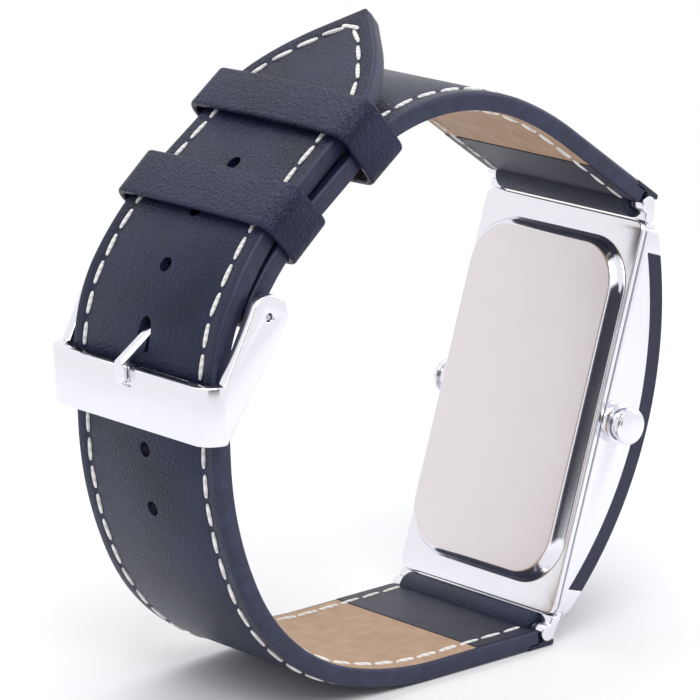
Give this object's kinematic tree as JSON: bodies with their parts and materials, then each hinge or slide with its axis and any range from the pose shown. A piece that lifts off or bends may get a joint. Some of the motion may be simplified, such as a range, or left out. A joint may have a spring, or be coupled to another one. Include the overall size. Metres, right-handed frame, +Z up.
{
  "type": "led watch",
  "caption": "Wristwatch with an arched rectangular steel case, tinted front window, side push buttons and a stitched leather strap buckled shut.",
  "frame": {"origin": "middle of the flat stretch of the lower strap, on the surface it stands on", "axes": "+Z up, +X from the buckle to the case, +Y across the strap to the left button"},
  "size_m": [0.0712, 0.0342, 0.077],
  "materials": {
    "polished_steel": "polished",
    "satin_steel": "fine satin",
    "dark_window": "polished tinted acrylic",
    "gasket_rubber": "matt",
    "mask_black": "matt",
    "frame_plastic": "matt moulded",
    "red_lamp": "clear red",
    "board_green": "lacquered",
    "chip_black": "matt",
    "crystal_can": "satin",
    "cell_can": "satin",
    "contact_brass": "satin",
    "amber_film": "clear",
    "spring_steel": "drawn wire",
    "bar_steel": "turned",
    "blue_black_leather": "smooth, white saddle stitching",
    "tan_lining": "soft nap",
    "black_patch": "smooth"
  },
  "bodies": {
    "watch": {"case_body": "polished_steel", "front_window": "dark_window", "case_back": "satin_steel", "back_gasket": "gasket_rubber", "dial_mask": "mask_black", "lamp_array": "red_lamp", "circuit_board": "board_green", "controller_chip": "chip_black", "quartz_crystal": "crystal_can", "module_frame": "frame_plastic", "upper_cell": "cell_can", "lower_cell": "cell_can", "cell_strap": "contact_brass", "insulating_film": "amber_film", "right_button_tube": "satin_steel", "right_button_spring": "spring_steel", "right_button_seal": "gasket_rubber", "right_switch_blade": "contact_brass", "left_button_tube": "satin_steel", "left_button_spring": "spring_steel", "left_button_seal": "gasket_rubber", "left_switch_blade": "contact_brass", "upper_bar_tube": "bar_steel", "upper_bar_spring": "spring_steel", "lower_bar_tube": "bar_steel", "lower_bar_spring": "spring_steel", "buckle_bar_tube": "bar_steel", "buckle_bar_spring": "spring_steel", "short_strap_leather": "blue_black_leather", "short_strap_lining": "tan_lining", "short_strap_patch": "black_patch", "long_strap_leather": "blue_black_leather", "long_strap_lining": "tan_lining", "long_strap_patch": "black_patch", "fixed_keeper": "blue_black_leather"},
    "right_push_button": {"right_button": "polished_steel", "right_button_clip": "spring_steel"},
    "left_push_button": {"left_button": "polished_steel", "left_button_clip": "spring_steel"},
    "sliding_loop": {"sliding_keeper": "blue_black_leather"},
    "buckle": {"buckle_frame": "polished_steel"},
    "tongue": {"buckle_tongue": "polished_steel"},
    "upper_right_bar_end": {"upper_bar_right_end": "bar_steel"},
    "upper_left_bar_end": {"upper_bar_left_end": "bar_steel"},
    "lower_right_bar_end": {"lower_bar_right_end": "bar_steel"},
    "lower_left_bar_end": {"lower_bar_left_end": "bar_steel"},
    "buckle_right_bar_end": {"buckle_bar_right_end": "bar_steel"},
    "buckle_left_bar_end": {"buckle_bar_left_end": "bar_steel"}
  },
  "joints": [
    {"name": "right_button_press", "type": "slide", "parent": "watch", "child": "right_push_button", "axis": [0, 1, 0], "range_m": [0, 0.0008], "stiffness_N_per_m": 1500, "springref_m": -0.0008, "deforming": ["right_button_spring"]},
    {"name": "left_button_press", "type": "slide", "parent": "watch", "child": "left_push_button", "axis": [0, -1, 0], "range_m": [0, 0.0008], "stiffness_N_per_m": 1500, "springref_m": -0.0008, "deforming": ["left_button_spring"]},
    {"name": "sliding_keeper_slide", "type": "slide", "parent": "watch", "child": "sliding_loop", "axis": [0.8007, 0, 0.599], "range_m": [-0.007, 0.002]},
    {"name": "buckle_hinge", "type": "hinge", "parent": "watch", "child": "buckle", "pos_m": [-0.03347, 0, 0.04845], "axis": [0, 1, 0], "range_deg": [0, 4]},
    {"name": "tongue_hinge", "type": "hinge", "parent": "buckle", "child": "tongue", "pos_m": [-0.03347, 0, 0.04845], "axis": [0, 1, 0], "range_deg": [0, 4]},
    {"name": "upper_right_bar_end_slide", "type": "slide", "parent": "watch", "child": "upper_right_bar_end", "axis": [0, 1, 0], "range_m": [0, 0.0011], "stiffness_N_per_m": 800, "springref_m": -0.002, "deforming": ["upper_bar_spring"]},
    {"name": "upper_left_bar_end_slide", "type": "slide", "parent": "watch", "child": "upper_left_bar_end", "axis": [0, -1, 0], "range_m": [0, 0.0011], "stiffness_N_per_m": 800, "springref_m": -0.002, "deforming": ["upper_bar_spring"]},
    {"name": "lower_right_bar_end_slide", "type": "slide", "parent": "watch", "child": "lower_right_bar_end", "axis": [0, 1, 0], "range_m": [0, 0.0011], "stiffness_N_per_m": 800, "springref_m": -0.002, "deforming": ["lower_bar_spring"]},
    {"name": "lower_left_bar_end_slide", "type": "slide", "parent": "watch", "child": "lower_left_bar_end", "axis": [0, -1, 0], "range_m": [0, 0.0011], "stiffness_N_per_m": 800, "springref_m": -0.002, "deforming": ["lower_bar_spring"]},
    {"name": "buckle_right_bar_end_slide", "type": "slide", "parent": "watch", "child": "buckle_right_bar_end", "axis": [0, 1, 0], "range_m": [0, 0.0012], "stiffness_N_per_m": 800, "springref_m": -0.002, "deforming": ["buckle_bar_spring"]},
    {"name": "buckle_left_bar_end_slide", "type": "slide", "parent": "watch", "child": "buckle_left_bar_end", "axis": [0, -1, 0], "range_m": [0, 0.0012], "stiffness_N_per_m": 800, "springref_m": -0.002, "deforming": ["buckle_bar_spring"]}
  ]
}
